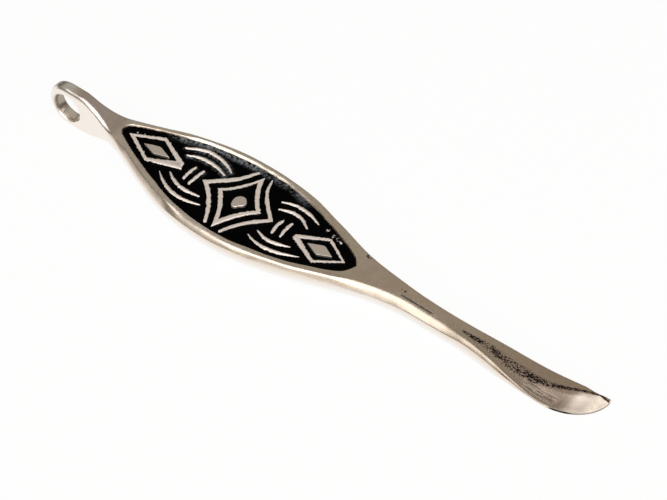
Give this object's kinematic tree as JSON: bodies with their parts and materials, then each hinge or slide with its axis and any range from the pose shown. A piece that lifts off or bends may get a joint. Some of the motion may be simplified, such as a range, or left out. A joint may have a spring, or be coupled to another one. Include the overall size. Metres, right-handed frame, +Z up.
{
  "type": "nail cleaner",
  "caption": "One-piece cast nail cleaner with a hanging eye, a leaf-shaped panel of black enamel between raised lines, a slim shank and a one-sided blade.",
  "frame": {"origin": "middle of the underside of the bounding box; the lowest point is the rim of the hanging eye", "axes": "+X along the tool to the blade's tip, +Y to the back of the blade, +Z up from the flat back through the ornament"},
  "size_m": [0.0864, 0.0142, 0.0066],
  "materials": {
    "cast_metal": "silvery cast metal, hand polished, darkened in the pits and the blade's crease",
    "black_enamel": "black enamel fill, low sheen, slightly grainy"
  },
  "bodies": {
    "root": {"cast_body": "cast_metal", "field_enamel": "black_enamel", "eye_lozenge_enamel": "black_enamel", "centre_diamond_enamel": "black_enamel", "tip_lozenge_enamel": "black_enamel"}
  },
  "joints": []
}
